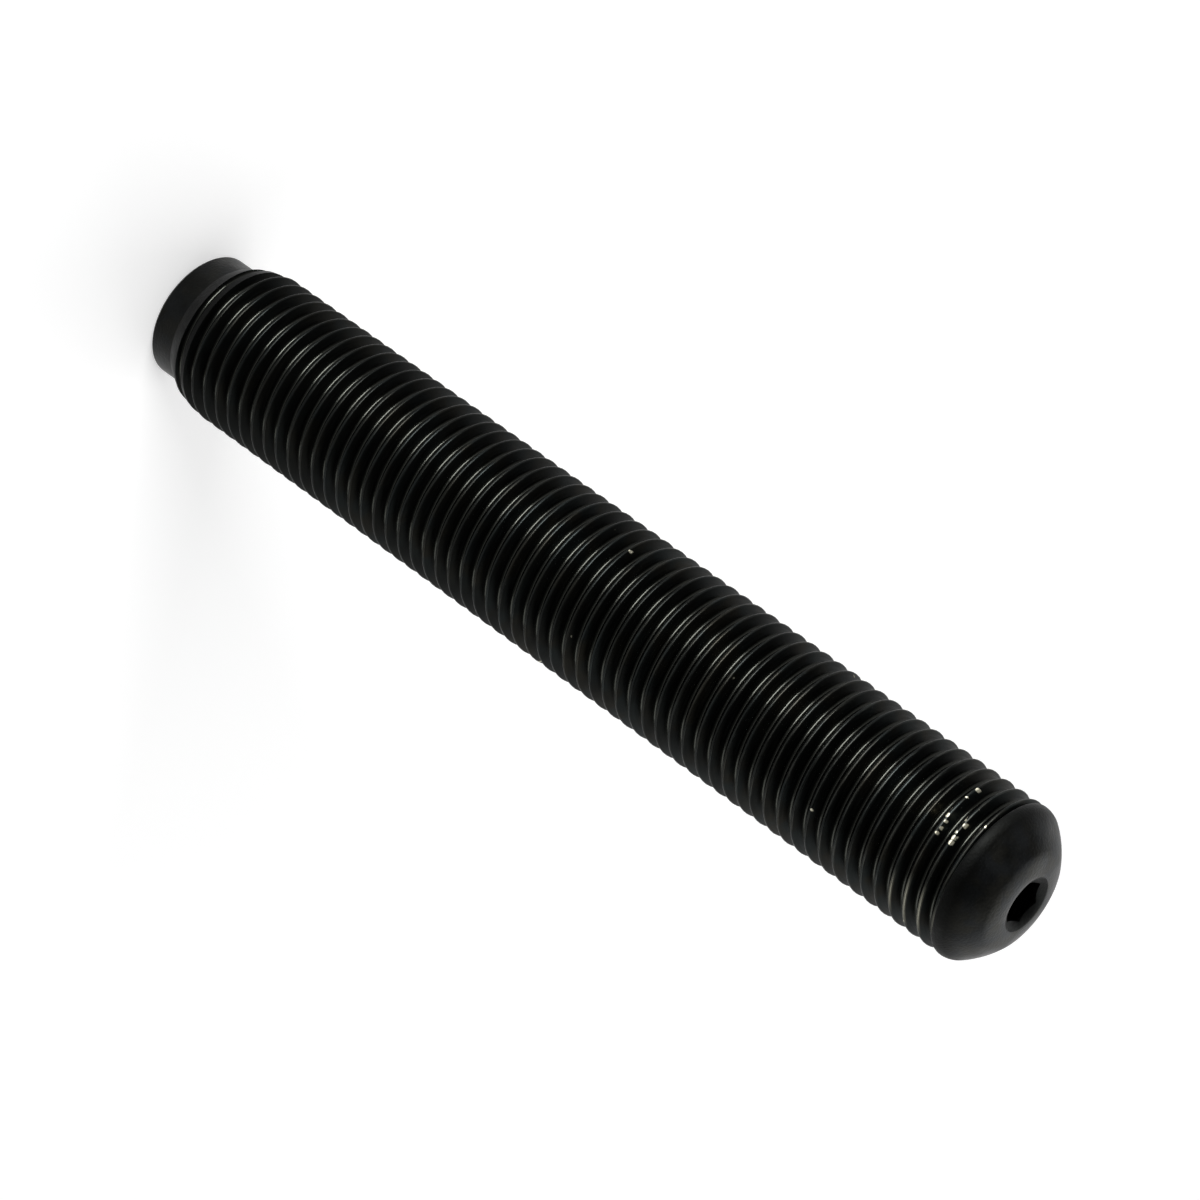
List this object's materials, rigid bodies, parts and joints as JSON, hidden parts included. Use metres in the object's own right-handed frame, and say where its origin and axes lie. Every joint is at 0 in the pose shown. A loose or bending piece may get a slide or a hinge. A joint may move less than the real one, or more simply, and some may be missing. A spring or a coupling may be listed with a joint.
{
  "type": "threaded stud",
  "caption": "Fully threaded black steel stud with a plain pilot at one end and a domed end with a hexagonal drive socket.",
  "frame": {"origin": "centre of the pilot's flat end face, on which the stud stands", "axes": "+Z along the stud's axis, from the pilot to the domed socket end; +X is 45 degrees from one of the socket's corners"},
  "size_m": [0.012, 0.012, 0.08],
  "materials": {
    "black_oxide_steel": "black oxide over machined steel, satin, worn brighter along the crests"
  },
  "bodies": {
    "root": {"stud": "black_oxide_steel"}
  },
  "joints": []
}
